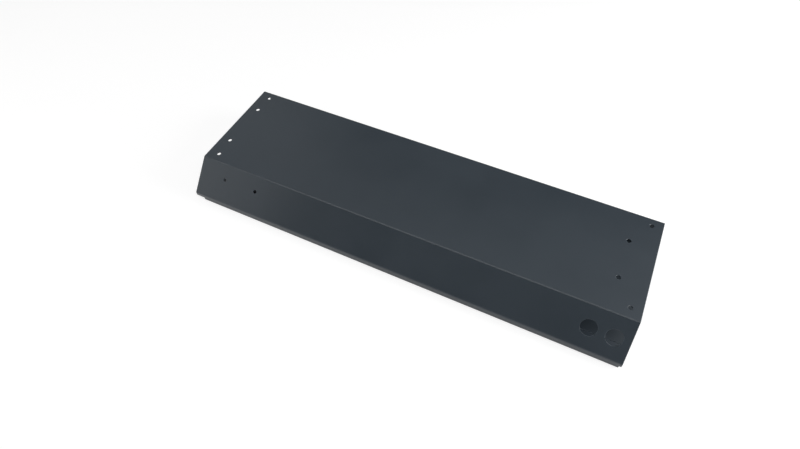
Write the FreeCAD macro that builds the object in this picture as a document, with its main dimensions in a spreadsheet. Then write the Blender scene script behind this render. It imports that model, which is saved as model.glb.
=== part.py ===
# Folded sheet-metal chassis: one powder-coated sheet bent into a long, low box section that is
# open at both ends. The section has a flat top, a sloping front flange, a short upright skirt,
# a return lip under the front edge, an upright back wall and a wide bottom return. The bottom
# return stops just short of the lip, so the two free edges of the sheet leave a narrow seam.
#
# Frame: millimetres, X along the length, Y from front to back, Z up. The origin is the middle
# of the footprint, on the surface that the chassis stands on.

import FreeCAD, Part
import os
import Sketcher

doc = FreeCAD.newDocument("sheet_metal_chassis")
sizes = doc.addObject("Spreadsheet::Sheet", "Sizes")

# Driving dimensions: word, value, meaning.
DIMENSIONS = [
    ("length", 600.0, "end to end"),
    ("height", 50.0, "floor to the top face"),
    ("top_width", 151.5, "top face, from the front fold's sharp corner to the back wall"),
    ("flange_angle", 45.0, "slope of the front flange from the horizontal, degrees"),
    ("skirt_height", 12.0, "upright strip under the sloping flange"),
    ("sheet_gauge", 1.5, "thickness of the sheet"),
    ("bend_radius", 3.5, "outside radius of every fold"),
    ("lip_width", 30.0, "return lip under the front edge"),
    ("seam_gap", 0.5, "between the lip and the bottom return"),
    ("left_relief", 12.5, "skirt and lip cut back from the left end"),
    ("right_relief", 2.5, "skirt and lip cut back from the right end"),
    ("relief_height", 6.5, "how far each end relief rises above the floor"),
    ("back_setback", 7.0, "back wall and bottom return cut back from the left end"),
    ("left_outer_inset", 16.0, "outer hole pair from the left end"),
    ("left_outer_spacing", 127.0, "outer hole pair at the left, hole to hole"),
    ("left_inner_inset", 14.0, "inner hole pair from the left end"),
    ("left_inner_spacing", 70.0, "inner hole pair at the left, hole to hole"),
    ("left_hole", 5.5, "diameter of the four top holes at the left"),
    ("right_outer_inset", 14.0, "outer hole pair from the right end"),
    ("right_outer_spacing", 125.0, "outer hole pair at the right, hole to hole"),
    ("right_inner_inset", 35.0, "inner hole pair from the right end"),
    ("right_inner_spacing", 57.0, "inner hole pair at the right, hole to hole"),
    ("right_hole", 6.0, "diameter of the four top holes at the right"),
    ("flange_hole", 5.0, "diameter of the two small flange holes"),
    ("flange_hole_inset", 41.5, "first small flange hole from the left end"),
    ("flange_hole_spacing", 50.0, "small flange holes, hole to hole"),
    ("flange_hole_drop", 22.0, "small flange holes, down the slope from the fold"),
    ("cable_hole", 20.0, "diameter of the two cable holes"),
    ("cable_hole_inset", 19.0, "last cable hole from the right end"),
    ("cable_hole_spacing", 29.0, "cable holes, hole to hole"),
    ("cable_hole_drop", 27.3, "cable holes, down the slope from the fold"),
]
for row, (word, value, meaning) in enumerate(DIMENSIONS, start=1):
    sizes.set(f"A{row}", word)
    sizes.set(f"B{row}", str(value))
    sizes.set(f"C{row}", meaning)
    sizes.setAlias(f"B{row}", word)

# Sizes that follow from the driving ones.
DERIVED = [
    ("flange_drop", "=height - skirt_height"),
    ("flange_run", "=flange_drop / tan(flange_angle * 1deg)"),
    ("depth", "=top_width + flange_run"),
    ("fold_place", "=flange_run - depth / 2"),
    ("top_middle", "=fold_place + top_width / 2"),
    ("lip_edge", "=lip_width - depth / 2"),
    ("return_edge", "=lip_edge + seam_gap"),
    ("cut_depth", "=sheet_gauge * 2"),
]
for row, (word, formula) in enumerate(DERIVED, start=len(DIMENSIONS) + 1):
    sizes.set(f"A{row}", word)
    sizes.set(f"B{row}", formula)
    sizes.setAlias(f"B{row}", word)
doc.recompute()

body = doc.addObject("PartDesign::Body", "Chassis")
body.Label = "chassis"

# Sketcher's numbers for the ends and centre of a piece of outline, and for the sketch's origin.
START, END, CENTRE = 1, 2, 3
ORIGIN = -1
# Lengths that differ by less than this count as equal.
CLOSE = 1e-6


def origin_plane(role):
    return next(f for f in body.Origin.OriginFeatures if f.Role == role)


def new_sketch(name, role):
    sketch = body.newObject("Sketcher::SketchObject", name)
    sketch.AttachmentSupport = [(origin_plane(role), "")]
    sketch.MapMode = "FlatFace"
    return sketch


def value_of(formula):
    """Present value of a formula, as a plain number."""
    value = sizes.evalExpression(formula.replace("Sizes.", ""))
    return float(getattr(value, "Value", value))


def bind(sketch, kind, points, formula):
    """Adds a dimension between the given points of a sketch and ties it to the sheet."""
    index = sketch.addConstraint(Sketcher.Constraint(kind, *points, value_of(formula)))
    sketch.setExpression(f"Constraints[{index}]", formula)


def add_loop(sketch, corners):
    """Closed loop of straight lines through the corners, joined end to end."""
    points = [FreeCAD.Vector(x, y, 0) for x, y in corners]
    lines = [sketch.addGeometry(Part.LineSegment(start, end), False)
             for start, end in zip(points, points[1:] + points[:1])]
    for line, following in zip(lines, lines[1:] + lines[:1]):
        sketch.addConstraint(Sketcher.Constraint("Coincident", line, END, following, START))
    return lines


def add_rectangle(sketch, left, low, right, high):
    """Rectangle with two opposite corners tied to formulas."""
    x1, y1, x2, y2 = (value_of(formula) for formula in (left, low, right, high))
    lines = add_loop(sketch, [(x1, y1), (x2, y1), (x2, y2), (x1, y2)])
    for line, kind in zip(lines, ("Horizontal", "Vertical", "Horizontal", "Vertical")):
        sketch.addConstraint(Sketcher.Constraint(kind, line))
    place_point(sketch, lines[0], START, left, low)
    place_point(sketch, lines[2], START, right, high)


def place_point(sketch, item, point, across, up):
    """Ties a point of a sketch to its place from the sketch's origin."""
    bind(sketch, "DistanceX", (ORIGIN, START, item, point), across)
    bind(sketch, "DistanceY", (ORIGIN, START, item, point), up)


def add_hole(sketch, across, up, diameter):
    """Circle with its centre and diameter tied to formulas."""
    centre = FreeCAD.Vector(value_of(across), value_of(up), 0)
    outline = Part.Circle(centre, FreeCAD.Vector(0, 0, 1), value_of(diameter) / 2)
    circle = sketch.addGeometry(outline, False)
    place_point(sketch, circle, CENTRE, across, up)
    bind(sketch, "Diameter", (circle,), diameter)


def cut(name, profile, depth, reverse=False):
    """Pocket that has to take material away."""
    doc.recompute()
    before = body.Shape.Volume
    pocket = body.newObject("PartDesign::Pocket", name)
    pocket.Profile = profile
    pocket.Reversed = reverse
    pocket.setExpression("Length", depth)
    doc.recompute()
    if not pocket.Shape.Volume < before:
        raise RuntimeError(f"{name} removed nothing")


# The folded section, drawn on its outside corners and swept along the length.
section = new_sketch("Section", "YZ_Plane")
TOP, FLANGE, SKIRT, BOTTOM, BACK = range(5)
half_depth = sizes.depth / 2
add_loop(section, [
    (half_depth, sizes.height),
    (sizes.fold_place, sizes.height),
    (-half_depth, sizes.skirt_height),
    (-half_depth, 0),
    (half_depth, 0),
])
for line in (TOP, BOTTOM):
    section.addConstraint(Sketcher.Constraint("Horizontal", line))
for line in (SKIRT, BACK):
    section.addConstraint(Sketcher.Constraint("Vertical", line))
section.addConstraint(Sketcher.Constraint("PointOnObject", BOTTOM, START, ORIGIN))
bind(section, "DistanceX", (TOP, END, TOP, START), "Sizes.top_width")
bind(section, "DistanceY", (BACK, START, BACK, END), "Sizes.height")
bind(section, "DistanceY", (SKIRT, END, SKIRT, START), "Sizes.skirt_height")
bind(section, "DistanceX", (BOTTOM, START, BOTTOM, END), "Sizes.depth")
bind(section, "DistanceX", (BOTTOM, START, ORIGIN, START), "Sizes.depth / 2")

blank = body.newObject("PartDesign::Pad", "Blank")
blank.Profile = section
blank.Midplane = True
blank.setExpression("Length", "Sizes.length")
doc.recompute()


def full_length_edges(shape):
    """Names of the edges that run from end to end."""
    return [f"Edge{number}" for number, edge in enumerate(shape.Edges, start=1)
            if abs(edge.BoundBox.XLength - sizes.length) < CLOSE]


def end_faces(shape):
    """Names of the two flat faces at the ends."""
    return [f"Face{number}" for number, face in enumerate(shape.Faces, start=1)
            if face.BoundBox.XLength < CLOSE]


folds = body.newObject("PartDesign::Fillet", "Folds")
folds.Base = (blank, full_length_edges(blank.Shape))
folds.setExpression("Radius", "Sizes.bend_radius")
doc.recompute()

# Hollowing the rounded bar leaves one even thickness of sheet, open at both ends.
folded_sheet = body.newObject("PartDesign::Thickness", "FoldedSheet")
folded_sheet.Base = (folds, end_faces(folds.Shape))
folded_sheet.Reversed = True
folded_sheet.setExpression("Value", "Sizes.sheet_gauge")
doc.recompute()

# The seam parts the lip from the bottom return along the whole underside.
seam = new_sketch("SeamOutline", "XY_Plane")
add_rectangle(seam, "-Sizes.length / 2", "Sizes.lip_edge", "Sizes.length / 2", "Sizes.return_edge")
cut("Seam", seam, "Sizes.cut_depth", reverse=True)

# At both ends the lip and the foot of the skirt are notched back, so that the folds end cleanly.
reliefs = new_sketch("ReliefOutline", "XZ_Plane")
reliefs.setExpression("AttachmentOffset.Base.z", "Sizes.depth / 2")
add_rectangle(reliefs, "-Sizes.length / 2", "0", "Sizes.left_relief - Sizes.length / 2",
              "Sizes.relief_height")
add_rectangle(reliefs, "Sizes.length / 2 - Sizes.right_relief", "0", "Sizes.length / 2",
              "Sizes.relief_height")
cut("EndReliefs", reliefs, "Sizes.lip_width + Sizes.seam_gap / 2")

# At the left end the back wall and the bottom return stop short. The top keeps its full length,
# and so does the fold behind it.
wall_end = new_sketch("WallEndOutline", "XY_Plane")
add_rectangle(wall_end, "-Sizes.length / 2", "Sizes.depth / 2 - Sizes.bend_radius",
              "Sizes.back_setback - Sizes.length / 2", "Sizes.depth / 2")
cut("WallEnd", wall_end, "Sizes.height - Sizes.bend_radius", reverse=True)
return_end = new_sketch("ReturnEndOutline", "XY_Plane")
add_rectangle(return_end, "-Sizes.length / 2", "Sizes.lip_edge + Sizes.seam_gap / 2",
              "Sizes.back_setback - Sizes.length / 2", "Sizes.depth / 2")
cut("ReturnEnd", return_end, "Sizes.cut_depth", reverse=True)

# Four fixing holes near each end of the top: an outer pair close to the edges, an inner pair
# closer together. Both pairs are centred on the top face.
left_holes = new_sketch("LeftHoleCentres", "XY_Plane")
right_holes = new_sketch("RightHoleCentres", "XY_Plane")
for end, sketch, sign in (("left", left_holes, "-"), ("right", right_holes, "")):
    sketch.setExpression("AttachmentOffset.Base.z", "Sizes.height")
    for pair in ("outer", "inner"):
        along = f"{sign}(Sizes.length / 2 - Sizes.{end}_{pair}_inset)"
        for side in ("-", "+"):
            across = f"Sizes.top_middle {side} Sizes.{end}_{pair}_spacing / 2"
            add_hole(sketch, along, across, f"Sizes.{end}_hole")
cut("LeftHoles", left_holes, "Sizes.cut_depth")
cut("RightHoles", right_holes, "Sizes.cut_depth")

# Holes in the sloping flange. Their sketch lies in its outer face, with its X axis on the
# fold's sharp corner and its Y axis pointing up the slope.
flange_holes = new_sketch("FlangeHoleCentres", "XY_Plane")
flange_holes.AttachmentOffset = FreeCAD.Placement(
    FreeCAD.Vector(0, sizes.fold_place, sizes.height),
    FreeCAD.Rotation(FreeCAD.Vector(1, 0, 0), sizes.flange_angle))
flange_holes.setExpression("AttachmentOffset.Base.y", "Sizes.fold_place")
flange_holes.setExpression("AttachmentOffset.Base.z", "Sizes.height")
flange_holes.setExpression("AttachmentOffset.Rotation.Angle", "Sizes.flange_angle")
for place in (0, 1):
    add_hole(flange_holes,
             f"Sizes.flange_hole_inset + {place} * Sizes.flange_hole_spacing - Sizes.length / 2",
             "-Sizes.flange_hole_drop", "Sizes.flange_hole")
    add_hole(flange_holes,
             f"Sizes.length / 2 - Sizes.cable_hole_inset - {place} * Sizes.cable_hole_spacing",
             "-Sizes.cable_hole_drop", "Sizes.cable_hole")
cut("FlangeHoles", flange_holes, "Sizes.cut_depth")

for item in doc.Objects:
    if "Invalid" in item.State or "Error" in item.State:
        raise RuntimeError(f"{item.Label} did not build: {item.State}")
if body.Shape.isNull() or not body.Shape.isValid() or len(body.Shape.Solids) != 1:
    raise RuntimeError("the chassis is not one valid solid")

os.makedirs("parts", exist_ok=True)
body.Shape.exportStep(f"parts/{body.Label}.step")
box = body.Shape.BoundBox
print(f"{body.Label}: {box.XLength:.1f} x {box.YLength:.1f} x {box.ZLength:.1f} mm, "
      f"{body.Shape.Volume:.0f} cubic mm, {len(body.Shape.Faces)} faces")
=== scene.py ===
# %% [markdown]
# # A folded sheet-metal chassis in Blender
#
# The real object is one piece of sheet steel: cut flat, punched, folded along its length, then
# sprayed with powder and baked. Its shape comes ready made from the construction model, so this
# file is about the other half of the work: the coat of paint, the studio and the camera.
#
# The shape could be modelled again here with planes and bevels, but then the two would drift
# apart. Opening the construction model keeps every fold and hole where it was measured. It comes
# in metres, with the origin in the middle of the footprint, on the floor.

import math

import bpy
from mathutils import Matrix, Vector


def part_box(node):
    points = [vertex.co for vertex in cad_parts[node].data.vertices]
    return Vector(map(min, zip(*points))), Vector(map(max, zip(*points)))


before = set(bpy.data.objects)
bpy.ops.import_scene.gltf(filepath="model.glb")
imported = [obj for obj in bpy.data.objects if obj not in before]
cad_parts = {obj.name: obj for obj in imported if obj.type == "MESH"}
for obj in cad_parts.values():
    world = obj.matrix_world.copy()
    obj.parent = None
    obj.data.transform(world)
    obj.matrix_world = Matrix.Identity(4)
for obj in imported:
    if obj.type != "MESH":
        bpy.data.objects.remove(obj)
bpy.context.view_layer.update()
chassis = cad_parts["chassis"]
low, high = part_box("chassis")
MM = 0.001
print("chassis size in mm:", [round(side / MM, 1) for side in high - low])


# %% [markdown]
# ## Colours and nodes
#
# A paint chart gives colours as screen values, written as hex codes. Blender calculates with
# linear light, so one function turns a hex code into linear numbers. The colour could be picked
# by eye instead, but then the link to the paint chart would be lost.
#
# A material is a tree of nodes. The second helper adds one node, sets its values and plugs in its
# links in a single call, so that each material reads from top to bottom like a recipe.

# %% Helpers for colours and nodes
def linear(hex_code):
    """Linear red, green, blue and alpha of a screen colour such as #383E42."""
    shares = [int(hex_code[start:start + 2], 16) / 255 for start in (1, 3, 5)]
    return [share / 12.92 if share <= 0.04045 else ((share + 0.055) / 1.055) ** 2.4
            for share in shares] + [1.0]


def add(tree, kind, settings=(), values=(), links=()):
    """Adds a node to the tree with its settings, its sockets' values and its links."""
    node = tree.nodes.new(kind)
    for name, setting in dict(settings).items():
        setattr(node, name, setting)
    for socket, value in dict(values).items():
        node.inputs[socket].default_value = value
    for socket, source in dict(links).items():
        tree.links.new(source, node.inputs[socket])
    return node


def empty_material(name):
    """A material with nodes and nothing in its tree yet."""
    material = bpy.data.materials.new(name)
    material.use_nodes = True
    material.node_tree.nodes.clear()
    return material


print("#383E42 in linear light:", [round(share, 4) for share in linear("#383E42")])


# %% [markdown]
# ## What a powder coat looks like
#
# The finish is a satin, fine-texture polyester powder coat in anthracite, on folded mild steel.
# Dry powder clings to the earthed sheet, melts in the oven and flows into a film less than a tenth
# of a millimetre thick. Three things tell the eye that this is powder and not wet paint: a low grain
# that breaks up the shine, a slow orange-peel wave under the grain, and a paler line along each cut
# edge. That line is partly real, where the melted film pulls back thin, and partly a painted
# highlight: a paler colour that stands in for the light the rounded edge catches.
#
# The finish could be an image of paint wrapped round the sheet. A pattern worked out in space
# suits a folded sheet better: the folds need no unwrapping, and the grain has the same real size
# on the top, on the slope and inside.
#
# A noise texture's scale is how many of its blobs fit into a metre, so each one is worked out
# from a real width. The true grain is about 0.3 mm across, too fine to show from this far away.
# It is drawn at 1.2 mm, so that the surface still looks dry.

# %% Real sizes of the coat's patterns
CLOUD_WIDTH = 110 * MM
PEEL_WIDTH = 6.0 * MM
PEEL_DEPTH = 0.02 * MM
GRAIN_WIDTH = 1.2 * MM
GRAIN_DEPTH = 0.012 * MM

for pattern, width in (("clouds", CLOUD_WIDTH), ("orange peel", PEEL_WIDTH), ("grain", GRAIN_WIDTH)):
    print(pattern, "noise scale:", round(1 / width, 1))


# %% [markdown]
# ## Clouds, orange peel and grain
#
# One noise texture is a soft random field. Three of them at very different widths stand for the
# three scales of the coat. The widest one never shows as a pattern: it only lets the colour and
# the shine drift a little along the sheet, as they do where the spray gun passed twice.
#
# Noise values crowd around one half. A Map Range node stretches the middle of the clouds' range,
# so that the drift uses the whole way from 0 to 1. A Color Ramp node could do that too, but its
# stops are harder to read in a script than two named limits.

# %% The coat's patterns
CLOUD_DETAIL = 3.0
PEEL_DETAIL = 1.0
GRAIN_DETAIL = 2.0
NOISE_LOW, NOISE_HIGH = 0.35, 0.65


def coat_patterns(tree):
    """The coat's drift from 0 to 1, its orange peel and its grain, as fields in space."""
    place = add(tree, "ShaderNodeTexCoord").outputs["Object"]
    fields = []
    for width, detail in ((CLOUD_WIDTH, CLOUD_DETAIL), (PEEL_WIDTH, PEEL_DETAIL),
                          (GRAIN_WIDTH, GRAIN_DETAIL)):
        noise = add(tree, "ShaderNodeTexNoise", values={"Scale": 1 / width, "Detail": detail},
                    links={"Vector": place})
        fields.append(noise.outputs["Fac"])
    clouds, peel, grain = fields
    drift = add(tree, "ShaderNodeMapRange", links={"Value": clouds},
                values={"From Min": NOISE_LOW, "From Max": NOISE_HIGH})
    return drift.outputs["Result"], peel, grain


print("clouds between", NOISE_LOW, "and", NOISE_HIGH, "are stretched to the full range")


# %% [markdown]
# ## Pale edges, partly a painted highlight
#
# A cut edge of sheet steel is never quite sharp. The punch leaves a tiny radius, and the film on it
# is thin. Modelling that radius on every hole would add thousands of faces. The Bevel node does it
# in the shader: it gives the normal that a rounded edge would have. Where that normal differs from
# the flat face's own, the point lies on an edge, and the dot product of the two falls below one. The
# mask found this way paints a paler colour along the edges. That colour is partly the thinner film
# and partly a painted highlight for the light that the rounded edge catches.

# %% Find the edges
EDGE_WIDTH = 0.7 * MM
EDGE_SAMPLES = 6
EDGE_STARTS = 0.99
EDGE_FULL = 0.80


def edge_highlight_mask(tree):
    """1 on a cut edge, where the painted highlight goes, 0 on open sheet, and the rounded normal
    that goes with it.
    """
    rounded = add(tree, "ShaderNodeBevel", {"samples": EDGE_SAMPLES}, {"Radius": EDGE_WIDTH})
    face = add(tree, "ShaderNodeNewGeometry")
    same = add(tree, "ShaderNodeVectorMath", {"operation": "DOT_PRODUCT"},
               links={0: rounded.outputs["Normal"], 1: face.outputs["Normal"]})
    mask = add(tree, "ShaderNodeMapRange", links={"Value": same.outputs["Value"]},
               values={"From Min": EDGE_STARTS, "From Max": EDGE_FULL})
    return mask.outputs["Result"], rounded.outputs["Normal"]


print("edges are rounded over", round(EDGE_WIDTH / MM, 2), "mm in the shader")


# %% [markdown]
# ## Mixing the coat
#
# Paint is a clear resin that holds pigment, so it is not a metal in Blender's terms: Metallic
# stays at 0 and the IOR is that of polyester resin. Satin powder scatters its reflection widely,
# but less than a matt one, so the roughness lies a little below the middle and drifts with the
# clouds.
#
# The melted resin also closes over the pigment as a thin clear skin with a little more shine,
# which is what draws the pale line along the fold. A touch of the shader's own Coat does that.
#
# The two bumps are chained: the slow wave bends the rounded normal first, and the grain roughens
# the result. Adding the two fields into one bump would tie their depths together.

# %% The powder coat
COAT_COLOUR = "#313A42"
COAT_DRIFT = "#353E46"
# Paler colour for the cut edges: a painted highlight, partly the thinner film there.
COAT_EDGE_HIGHLIGHT = "#5E6A75"
COAT_IOR = 1.5
SATIN_LEAST, SATIN_MOST = 0.35, 0.42
SKIN_SHARE = 0.15
SKIN_SATIN = 0.3


def satin_powder_coat():
    """Satin fine-texture anthracite polyester powder coat on folded steel sheet."""
    coat = empty_material("satin_anthracite_powder_coat")
    tree = coat.node_tree
    drift, peel, grain = coat_patterns(tree)
    edge, normal = edge_highlight_mask(tree)

    open_sheet = add(tree, "ShaderNodeMix", {"data_type": "RGBA"},
                     {"A": linear(COAT_COLOUR), "B": linear(COAT_DRIFT)}, {"Factor": drift})
    # The edges get the paler colour: a painted highlight, partly the thinner film there.
    colour = add(tree, "ShaderNodeMix", {"data_type": "RGBA"}, {"B": linear(COAT_EDGE_HIGHLIGHT)},
                 {"Factor": edge, "A": open_sheet.outputs["Result"]})
    satin = add(tree, "ShaderNodeMapRange", links={"Value": drift},
                values={"To Min": SATIN_LEAST, "To Max": SATIN_MOST})
    for depth, field in ((PEEL_DEPTH, peel), (GRAIN_DEPTH, grain)):
        bump = add(tree, "ShaderNodeBump", values={"Strength": 1.0, "Distance": depth},
                   links={"Height": field, "Normal": normal})
        normal = bump.outputs["Normal"]

    paint = add(tree, "ShaderNodeBsdfPrincipled",
                values={"IOR": COAT_IOR, "Coat Weight": SKIN_SHARE, "Coat Roughness": SKIN_SATIN},
                links={"Base Color": colour.outputs["Result"], "Normal": normal,
                       "Roughness": satin.outputs["Result"]})
    add(tree, "ShaderNodeOutputMaterial", links={"Surface": paint.outputs["BSDF"]})
    return coat


coat = satin_powder_coat()
for slot in chassis.material_slots:
    slot.material = coat
print("material slots coated with", coat.name + ":", len(chassis.material_slots))


# %% [markdown]
# ## White paper
#
# Products like this are shown on seamless white paper. The paper could be lit until it clips to
# white, but that much light would wash the dark coat out. Here the paper lights the scene as a
# plain white sheet. For rays that come straight from the camera, or by way of a reflection, it
# is a grey sheet with a glow, and the lit grey and the glow add up to white. The share that comes
# from the lamps lets the chassis keep a soft shadow.
#
# Real paper is dark where the chassis stands on it, and the foot of the skirt mirrors that dark
# strip. A glow has no such shade, so an Ambient Occlusion node dims it close by for every ray but
# the camera's own.

# %% White paper
PAPER = "#E8E8E8"
PAPER_SEEN = "#A8A8A8"
PAPER_GLOW = 0.74
SHADE_REACH = 60 * MM
SHADE_SAMPLES = 4


def white_paper():
    """Matt white paper that looks evenly white to the camera and keeps a soft shadow."""
    paper = empty_material("white_paper")
    tree = paper.node_tree
    ray = add(tree, "ShaderNodeLightPath").outputs
    seen = ray["Is Camera Ray"]
    for kind in ("Is Glossy Ray", "Is Transmission Ray"):
        seen = add(tree, "ShaderNodeMath", {"operation": "MAXIMUM"},
                   links={0: seen, 1: ray[kind]}).outputs[0]
    lit = add(tree, "ShaderNodeBsdfDiffuse", values={"Color": linear(PAPER)})
    shaded = add(tree, "ShaderNodeBsdfDiffuse", values={"Color": linear(PAPER_SEEN)})
    close_by = add(tree, "ShaderNodeAmbientOcclusion", {"samples": SHADE_SAMPLES},
                   {"Distance": SHADE_REACH}).outputs["AO"]
    shade = add(tree, "ShaderNodeMath", {"operation": "MAXIMUM"},
                links={0: close_by, 1: ray["Is Camera Ray"]}).outputs[0]
    strength = add(tree, "ShaderNodeMath", {"operation": "MULTIPLY"}, {1: PAPER_GLOW}, {0: shade})
    glow = add(tree, "ShaderNodeEmission", links={"Strength": strength.outputs[0]})
    shown = add(tree, "ShaderNodeAddShader", links={0: shaded.outputs[0], 1: glow.outputs[0]})
    either = add(tree, "ShaderNodeMixShader",
                 links={0: seen, 1: lit.outputs[0], 2: shown.outputs[0]})
    add(tree, "ShaderNodeOutputMaterial", links={"Surface": either.outputs[0]})
    return paper


paper = white_paper()
print("paper glows at", PAPER_GLOW, "of white and shades within", round(SHADE_REACH / MM), "mm")


# %% [markdown]
# ## The floor and the wall behind it
#
# A studio's paper hangs from a roll and sweeps forward under the product. A swept sheet suits one
# camera only. A round floor with a low wall of the same paper looks alike from every side, and
# the wall hides the floor's far edge. The floor lies a hair below the chassis, so that the two
# flat faces don't flicker through each other.

# %% Floor and backdrop
PAPER_RADIUS = 6.0
PAPER_SIDES = 96
PAPER_GAP = 0.1 * MM
WALL_HEIGHT = 1.7

bpy.ops.mesh.primitive_circle_add(vertices=PAPER_SIDES, radius=PAPER_RADIUS, fill_type="NGON",
                                  location=(0, 0, low.z - PAPER_GAP))
floor = bpy.context.object
floor.name = "floor"
bpy.ops.mesh.primitive_cylinder_add(vertices=PAPER_SIDES, radius=PAPER_RADIUS, depth=WALL_HEIGHT,
                                    end_fill_type="NOTHING", location=(0, 0, WALL_HEIGHT / 2))
backdrop = bpy.context.object
backdrop.name = "backdrop"
for sheet in (floor, backdrop):
    sheet.data.materials.append(paper)
print("floor:", 2 * PAPER_RADIUS, "m across; backdrop:", WALL_HEIGHT, "m high")


# %% [markdown]
# ## Soft light
#
# A dark satin sheet shows its shape by what it reflects. From this side the top mirrors the space
# high behind the chassis, the fold mirrors the space overhead and the slope mirrors the space in
# front. So a large soft box overhead, a little to the back, fills the top, and a long strip
# straight above draws the line on the fold and leaves the slope darker. A small box at the front
# left brightens the slope towards its left end, one at the back right lifts the right end and
# shines into the open end there, and a weak one at the back left evens the far end. The last
# one stands low beyond the right end and lights the inside behind the cable holes.
#
# A single bright sky would be simpler, but it lights all faces alike and the folds disappear.
#
# The lamps are hidden from the camera, so that they don't show in low views.

# %% Soft boxes
def soft_box(name, place, aim, size, watts):
    """Rectangular soft light at a place, turned to what it aims at. Both are in metres."""
    lamp = bpy.data.lights.new(name, "AREA")
    lamp.shape = "RECTANGLE"
    lamp.size, lamp.size_y = size
    lamp.energy = watts
    holder = bpy.data.objects.new(name, lamp)
    bpy.context.scene.collection.objects.link(holder)
    back = Vector(place) - Vector(aim)
    turn = back.to_track_quat("Z", "Y").to_matrix().to_4x4()
    holder.matrix_world = Matrix.Translation(place) @ turn
    holder.visible_camera = False
    print(f"{name}: {size[0]} x {size[1]} m, {watts} W, {back.length:.2f} m away")


soft_box("soft_box_overhead", place=(0.0, 0.45, 1.5), aim=(0.0, 0.0, 0.0),
         size=(2.4, 1.2), watts=4.2)
soft_box("strip_over_the_fold", place=(-0.2, -0.38, 1.2), aim=(-0.2, -0.1, 0.0),
         size=(2.2, 0.4), watts=8.6)
soft_box("soft_box_front_left", place=(-0.98, -0.74, 0.5), aim=(-0.3, -0.07, 0.03),
         size=(0.6, 0.5), watts=1.2)
soft_box("soft_box_back_right", place=(1.15, 0.55, 0.58), aim=(0.3, 0.0, 0.03),
         size=(0.7, 0.6), watts=9.8)
soft_box("soft_box_back_left", place=(-1.0, 0.6, 0.7), aim=(-0.3, 0.0, 0.05),
         size=(0.6, 0.6), watts=0.55)
soft_box("soft_box_open_end", place=(0.9, -0.1, 0.14), aim=(0.2, 0.0, 0.02),
         size=(0.3, 0.2), watts=2.0)


# %% [markdown]
# ## The light of the room
#
# A real studio is never black between its lamps: the walls send a little light back from all
# sides. More lamps could stand for them, but the world's plain colour does it in one step, and
# it reaches into the open ends as well. It stays weak, because it shows the folds least of all.

# %% Room light
ROOM_COLOUR = "#FFFFFF"
ROOM_LIGHT = 0.05

world = bpy.data.worlds.new("studio_room")
bpy.context.scene.world = world
world.use_nodes = True
room = world.node_tree.nodes["Background"]
room.inputs["Color"].default_value = linear(ROOM_COLOUR)
room.inputs["Strength"].default_value = ROOM_LIGHT
print("room light:", ROOM_LIGHT)


# %% [markdown]
# ## The camera
#
# The chassis is seen from the front right and from well above, by a wide lens close by. That
# makes the near right end larger than the far left end. A longer lens from further away would
# flatten the view. The camera is placed by two angles round the point that it aims at and by its
# distance, like a tripod with a tilting head, and it leans over by about two degrees.

# %% Camera
SENSOR_WIDTH = 36.0
LENS = 24.46
AZIMUTH, ELEVATION, LEAN = 27.24, 53.96, -1.87
DISTANCE = 716.55 * MM
AIM = Vector((-7.9, -32.2, 25.0)) * MM

azimuth, elevation, lean = (math.radians(angle) for angle in (AZIMUTH, ELEVATION, LEAN))
away = Vector((math.sin(azimuth) * math.cos(elevation), -math.cos(azimuth) * math.cos(elevation),
               math.sin(elevation)))
stand = AIM + away * DISTANCE
camera_lens = bpy.data.cameras.new("camera")
camera_lens.sensor_width = SENSOR_WIDTH
camera_lens.lens = LENS
camera = bpy.data.objects.new("camera", camera_lens)
bpy.context.scene.collection.objects.link(camera)
camera.matrix_world = (Matrix.Translation(stand)
                       @ away.to_track_quat("Z", "Y").to_matrix().to_4x4()
                       @ Matrix.Rotation(lean, 4, "Z"))
bpy.context.scene.camera = camera
print("camera stands at", [round(side, 3) for side in stand], "m")


# %% [markdown]
# ## Finish
#
# The Standard view shows colours about as they were written. Blender's default view would bend them
# to look like film, which suits a sunset and not a paint sample.

# %% View
bpy.context.scene.view_settings.view_transform = "Standard"
